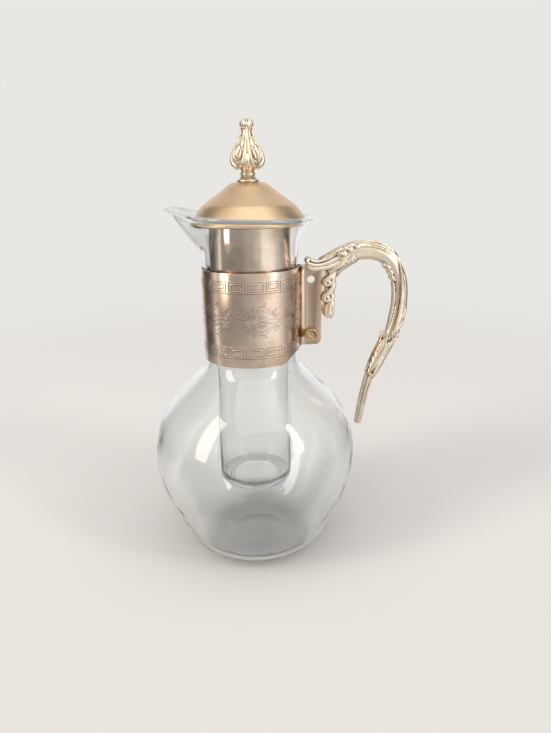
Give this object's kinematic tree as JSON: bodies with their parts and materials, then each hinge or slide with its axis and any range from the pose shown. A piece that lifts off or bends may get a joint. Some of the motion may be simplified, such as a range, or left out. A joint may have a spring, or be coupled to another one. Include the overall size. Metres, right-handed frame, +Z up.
{
  "type": "coffee carafe",
  "caption": "Glass carafe with a clamped scroll handle, a lift-out dome lid with a bud finial, and a glass ice tube hanging in its bowl.",
  "frame": {"origin": "centre of the flat base that the carafe stands on", "axes": "+Z up along the vessel's axis, +X towards the handle, -X towards the spout"},
  "size_m": [0.1613, 0.1288, 0.2701],
  "materials": {
    "vessel_glass": "polished clear glass",
    "tube_glass": "polished clear glass",
    "silver_plate": "polished silver plate on brass, lightly tarnished",
    "cast_metal": "pale gold casting with brown in its hollows",
    "satin_gold": "satin champagne gold",
    "screw_brass": "worn brass",
    "liner": "matt strip",
    "seal_rubber": "matt rubber"
  },
  "bodies": {
    "carafe": {"carafe_glass": "vessel_glass", "neck_band": "silver_plate", "band_liner": "liner", "clamp_screw": "screw_brass", "clamp_nut": "screw_brass", "handle": "cast_metal"},
    "lid": {"lid_dome": "satin_gold", "lid_skirt": "silver_plate", "tube_seal": "seal_rubber", "finial": "cast_metal", "finial_washer": "screw_brass", "finial_screw": "screw_brass"},
    "ice_tube": {"ice_tube": "tube_glass"}
  },
  "joints": [
    {"name": "lid_lift", "type": "slide", "parent": "carafe", "child": "lid", "axis": [0, 0, 1], "range_m": [0, 0.185]},
    {"name": "ice_tube_pull", "type": "slide", "parent": "lid", "child": "ice_tube", "axis": [0, 0, -1], "range_m": [0, 0.027]}
  ]
}
